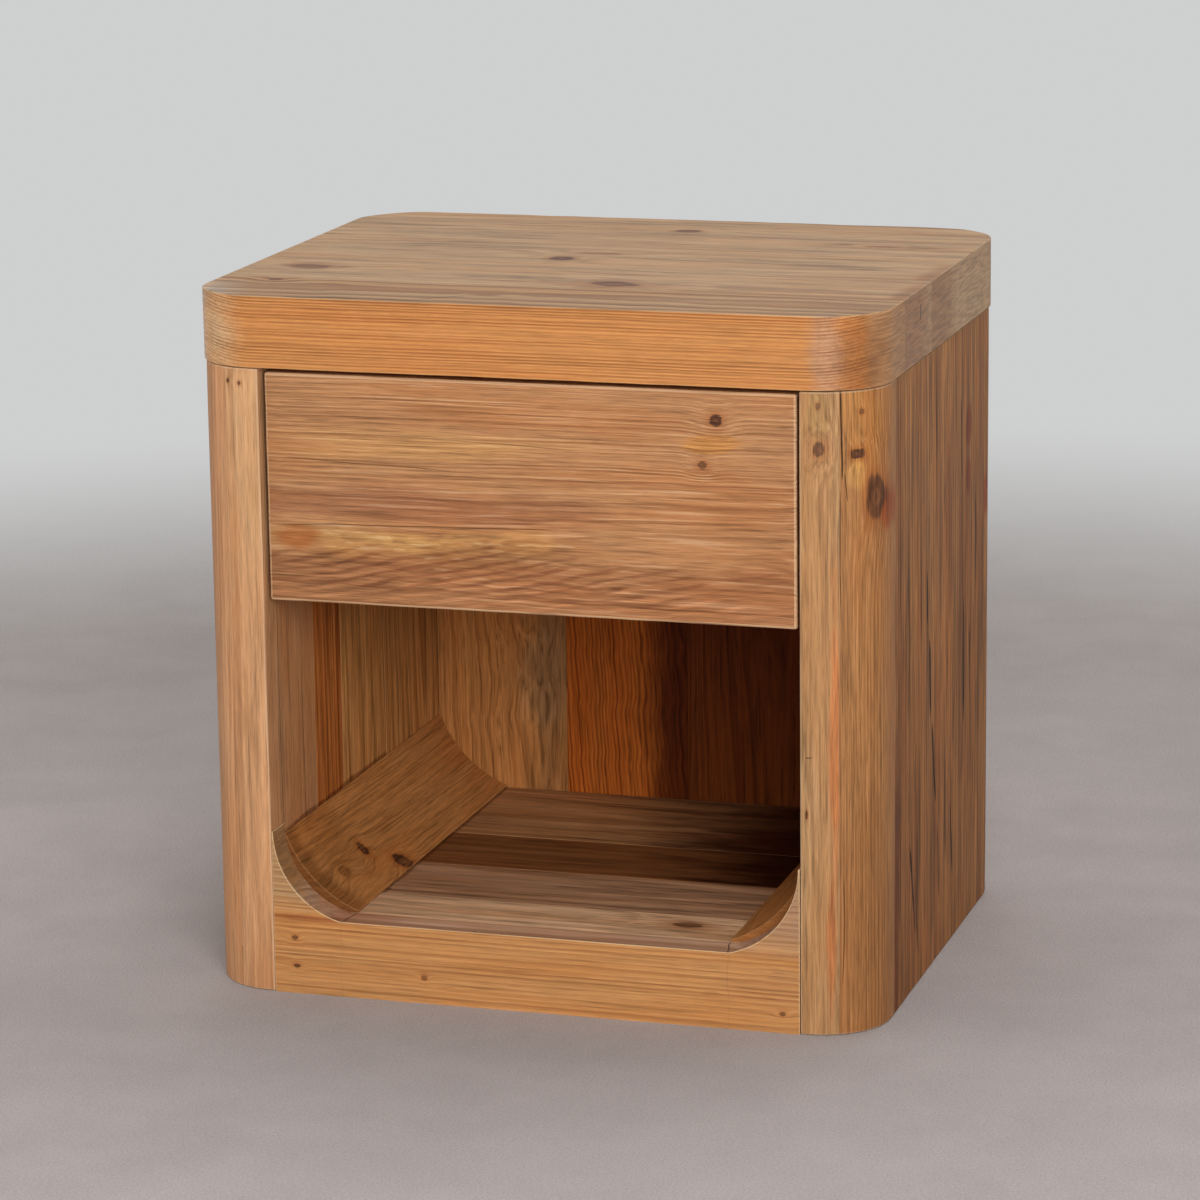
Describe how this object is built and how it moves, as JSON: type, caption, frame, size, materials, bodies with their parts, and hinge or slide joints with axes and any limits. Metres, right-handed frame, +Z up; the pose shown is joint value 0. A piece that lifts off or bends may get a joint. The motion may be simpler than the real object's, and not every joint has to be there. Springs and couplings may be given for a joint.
{
  "type": "nightstand",
  "caption": "Bedside table in solid pine: thick top with rounded corners, laminated side panels, a drawer on side slides and an open compartment with hollow coves along its floor.",
  "frame": {"origin": "on the ground, under the middle of the table", "axes": "+Z up; the front with the drawer faces -Y; +X to the right, seen from the front"},
  "size_m": [0.503, 0.415, 0.51],
  "materials": {
    "pine_top": "matt hard wax oil over wire-brushed reclaimed pine",
    "pine_side": "matt hard wax oil over wire-brushed reclaimed pine",
    "pine_back": "matt hard wax oil over reclaimed pine",
    "pine_inside": "matt oiled pine",
    "pine_rail": "matt hard wax oil over wire-brushed reclaimed pine",
    "pine_floor": "matt hard wax oil over reclaimed pine",
    "pine_cove": "matt hard wax oil over reclaimed pine",
    "pine_drawer_front": "matt hard wax oil over wire-brushed reclaimed pine",
    "pine_box": "sanded pine",
    "plywood": "sanded plywood",
    "beech_dowel": "turned beech",
    "zinc_steel": "zinc plated steel"
  },
  "bodies": {
    "carcass": {"top_board_1": "pine_top", "top_board_2": "pine_top", "top_board_3": "pine_top", "top_board_4": "pine_top", "top_board_5": "pine_top", "left_outer_stave_1": "pine_side", "left_outer_stave_2": "pine_side", "left_outer_stave_3": "pine_side", "left_outer_stave_4": "pine_side", "left_outer_stave_5": "pine_side", "left_inner_stave_1": "pine_side", "left_inner_stave_2": "pine_side", "left_inner_stave_3": "pine_side", "left_inner_stave_4": "pine_side", "right_outer_stave_1": "pine_side", "right_outer_stave_2": "pine_side", "right_outer_stave_3": "pine_side", "right_outer_stave_4": "pine_side", "right_outer_stave_5": "pine_side", "right_inner_stave_1": "pine_side", "right_inner_stave_2": "pine_side", "right_inner_stave_3": "pine_side", "right_inner_stave_4": "pine_side", "back_board_1": "pine_back", "back_board_2": "pine_back", "back_board_3": "pine_back", "back_board_4": "pine_back", "back_batten": "pine_inside", "front_rail": "pine_rail", "floor_board_1": "pine_floor", "floor_board_2": "pine_floor", "floor_board_3": "pine_floor", "floor_board_4": "pine_floor", "left_cove": "pine_cove", "left_floor_cleat": "pine_inside", "right_cove": "pine_cove", "right_floor_cleat": "pine_inside", "top_dowel_left_front": "beech_dowel", "top_dowel_left_rear": "beech_dowel", "top_dowel_right_front": "beech_dowel", "top_dowel_right_rear": "beech_dowel", "cleat_screw_left_front": "zinc_steel", "cleat_screw_left_rear": "zinc_steel", "cleat_screw_right_front": "zinc_steel", "cleat_screw_right_rear": "zinc_steel", "left_slide_outer": "zinc_steel", "right_slide_outer": "zinc_steel"},
    "left_slide_carriage": {"left_slide_middle": "zinc_steel"},
    "right_slide_carriage": {"right_slide_middle": "zinc_steel"},
    "drawer": {"drawer_front": "pine_drawer_front", "drawer_box_front": "pine_box", "drawer_left_side": "pine_box", "drawer_right_side": "pine_box", "drawer_back": "pine_box", "drawer_bottom": "plywood", "drawer_front_screw_left": "zinc_steel", "drawer_front_screw_right": "zinc_steel", "left_slide_inner": "zinc_steel", "right_slide_inner": "zinc_steel"}
  },
  "joints": [
    {"name": "drawer_slide", "type": "slide", "parent": "carcass", "child": "drawer", "axis": [0, -1, 0], "range_m": [0, 0.285]},
    {"name": "left_slide_extension", "type": "slide", "parent": "carcass", "child": "left_slide_carriage", "axis": [0, -1, 0], "range_m": [0, 0.1425]},
    {"name": "right_slide_extension", "type": "slide", "parent": "carcass", "child": "right_slide_carriage", "axis": [0, -1, 0], "range_m": [0, 0.1425]}
  ],
  "couplings": [
    {"joint": "left_slide_extension", "follows": "drawer_slide", "ratio": 0.5},
    {"joint": "right_slide_extension", "follows": "drawer_slide", "ratio": 0.5}
  ]
}
